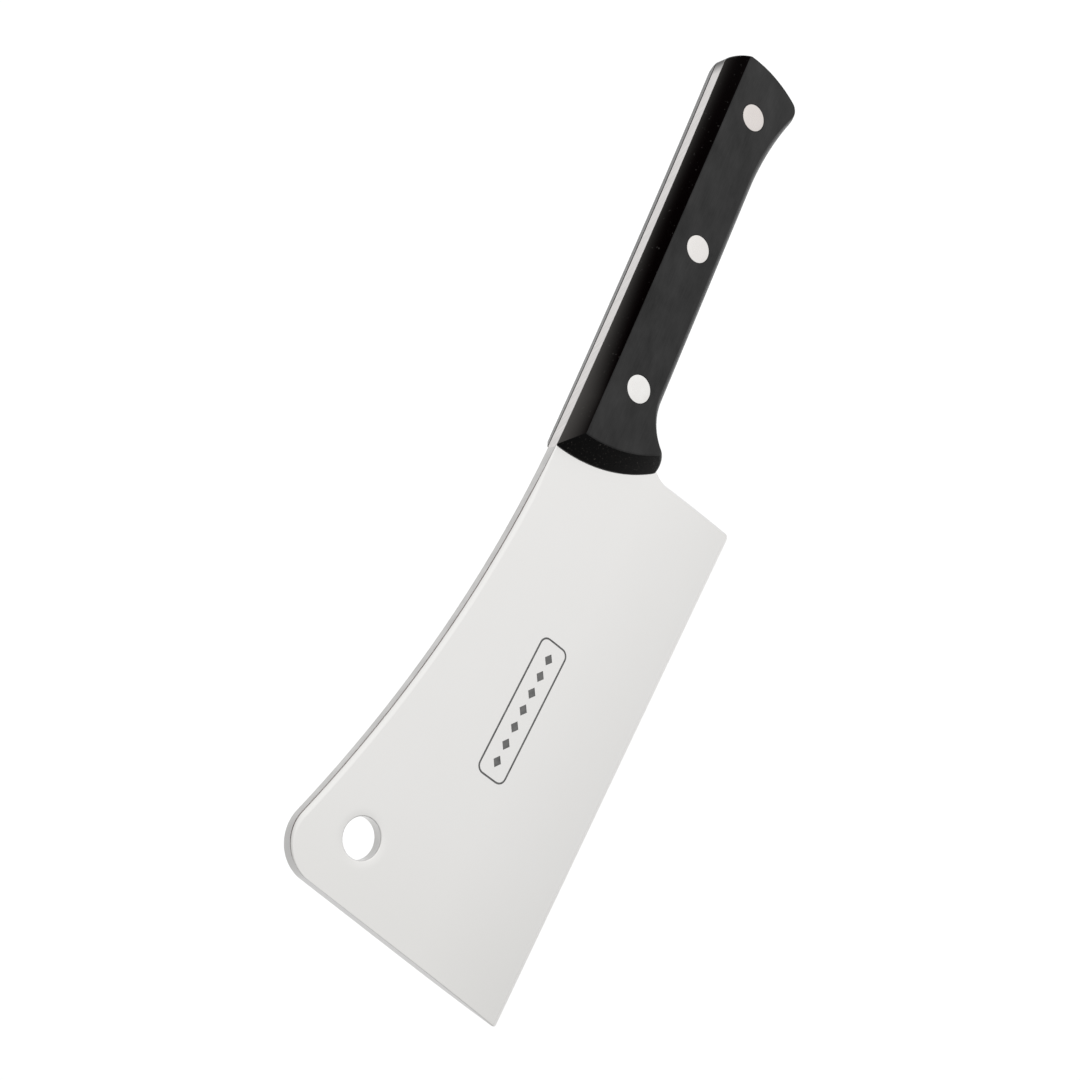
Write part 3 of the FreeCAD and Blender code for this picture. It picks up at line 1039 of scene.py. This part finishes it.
def rivet_steel():
    """Rivet heads, sanded flush in the same pass as the scales, with painted shade that makes them
    darker and warmer towards the rear.
    """
    finish = Finish("rivet_steel", 1.0, 0.5)
    grain = finish.noise((5.0, 0.16, 5.0), 0.0, 3.0, 0.65)
    stain = finish.noise((2.2, 2.2, 2.2), 0.0, 3.0, 0.6)
    # Painted shade: the rivets are painted darker and warmer towards the rear, fully at 262 mm behind
    # the hole's centre and fading out by 172 mm; the stain noise varies the tone at random.
    forward = finish.along("X", -262.0, -172.0)
    finish.colour((0.60, 0.555, 0.535), (0.75, 0.742, 0.727),
                  finish.together(forward, finish.spread(stain, 0.8, 1), "MULTIPLY"))
    finish.rough(finish.spread(grain, 0.24, 0.36))
    finish.relief(grain, 0.0008)
    return finish.material


# ---------------------------------------------------------------------- stage
def make_floor():
    """Plain pale floor well below the cleaver, ending short of the camera's side."""
    drop = 0.3
    low = Vector((-1.6, -0.6))
    high = Vector((1.6, 1.8))
    height = cad_box[0].z - drop
    mesh = bpy.data.meshes.new("studio_floor")
    corners = ((low.x, low.y), (high.x, low.y), (high.x, high.y), (low.x, high.y))
    mesh.from_pydata([(x, y, height) for x, y in corners], [], [(0, 1, 2, 3)])
    floor = bpy.data.objects.new("studio_floor", mesh)
    bpy.context.scene.collection.objects.link(floor)
    paint = bpy.data.materials.new("floor_paint")
    paint.use_nodes = True
    shader = paint.node_tree.nodes["Principled BSDF"]
    shader.inputs["Base Color"].default_value = (0.95, 0.95, 0.95, 1)
    shader.inputs["Emission Color"].default_value = (1, 1, 1, 1)
    shader.inputs["Emission Strength"].default_value = 0.1
    shader.inputs["Roughness"].default_value = 0.9
    shader.inputs["Specular IOR Level"].default_value = 0.1
    mesh.materials.append(paint)


class Tent:
    """Nodes for the world: a soft white tent, open low on the camera's side."""

    def __init__(self):
        world = bpy.data.worlds.new("studio_tent")
        bpy.context.scene.world = world
        world.use_nodes = True
        self.tree = world.node_tree
        self.background = self.tree.nodes["Background"]
        self.direction = self.tree.nodes.new("ShaderNodeTexCoord").outputs["Generated"]

    def toward(self, way, offset=0.0):
        """Dot product with a direction, plus an offset."""
        dot = self.tree.nodes.new("ShaderNodeVectorMath")
        dot.operation = "DOT_PRODUCT"
        dot.inputs[1].default_value = way
        self.tree.links.new(self.direction, dot.inputs[0])
        return self.math("ADD", dot.outputs["Value"], offset)

    def math(self, operation, first, last):
        node = self.tree.nodes.new("ShaderNodeMath")
        node.operation = operation
        self.tree.links.new(first, node.inputs[0])
        if isinstance(last, float):
            node.inputs[1].default_value = last
        else:
            self.tree.links.new(last, node.inputs[1])
        return node.outputs["Value"]

    def fade(self, source, first, last):
        """0 to 1, smoothly, as the source goes from first to last."""
        node = self.tree.nodes.new("ShaderNodeMapRange")
        node.interpolation_type = "SMOOTHSTEP"
        node.inputs["From Min"].default_value = first
        node.inputs["From Max"].default_value = last
        self.tree.links.new(source, node.inputs["Value"])
        return node.outputs["Result"]

    def light(self, dark, bright, share, strength):
        node = self.tree.nodes.new("ShaderNodeMix")
        node.data_type = "RGBA"
        node.inputs["A"].default_value = (*dark, 1)
        node.inputs["B"].default_value = (*bright, 1)
        self.tree.links.new(share, node.inputs["Factor"])
        self.tree.links.new(node.outputs["Result"], self.background.inputs["Color"])
        self.tree.links.new(strength, self.background.inputs["Strength"])


def make_world():
    """Brightest over the spine, dimmer towards the cutting edge and the nose."""
    tent = Tent()
    brown = (0.10, 0.06, 0.045)
    white = (1, 1, 1)
    aside = tent.math("MAXIMUM", tent.toward((0, 1, 0)), 0.2)
    falling = tent.math("MULTIPLY", aside, -0.25)
    level = tent.math("ADD", tent.toward((-0.345, 0, 0.23), 0.93), falling)
    above = tent.fade(tent.toward((0, 0, 1)), -0.15, 0.02)
    behind = tent.fade(tent.toward((-0.5, 0.86, 0)), -0.35, 0.1)
    tent.light(brown, white, tent.math("MAXIMUM", above, behind), level)


def make_camera():
    """Looks down on the marked side from the spine's side of the front end."""
    place = Vector((0.0873, -0.2287, 0.4204))
    view = Vector((-0.35498, 0.46801, -0.80929))
    right = Vector((-0.36938, 0.72502, 0.58130))
    data = bpy.data.cameras.new("camera")
    data.sensor_width = 36.0
    data.lens = 62.45
    data.clip_start = 0.01
    camera = bpy.data.objects.new("camera", data)
    bpy.context.scene.collection.objects.link(camera)
    back = -view.normalized()
    up = back.cross(right).normalized()
    across = up.cross(back)
    turn = Matrix((across, up, back)).transposed()
    camera.matrix_world = Matrix.Translation(place) @ turn.to_4x4()
    bpy.context.scene.camera = camera


# ------------------------------------------------------------------- assembly
steel = [satin_steel(), ground_wall(), tang_steel(), honed_steel(), etched_steel()]
plastic = [sanded_plastic(), moulded_plastic(), painted_sheen_plastic()]
rivet_metal = [rivet_steel()]

make_blade(steel)
make_scale("handle_scale_marked", "scale_marked_side", 1, plastic)
make_scale("handle_scale_plain", "scale_plain_side", -1, plastic)
for station_name, station_centre in rivet_centres():
    make_rivet(station_name, "post", post_profile(), station_centre, rivet_metal)
    make_rivet(station_name, "socket", socket_profile(), station_centre, rivet_metal)

make_floor()
make_world()
make_camera()
bpy.context.scene.view_settings.view_transform = "Standard"
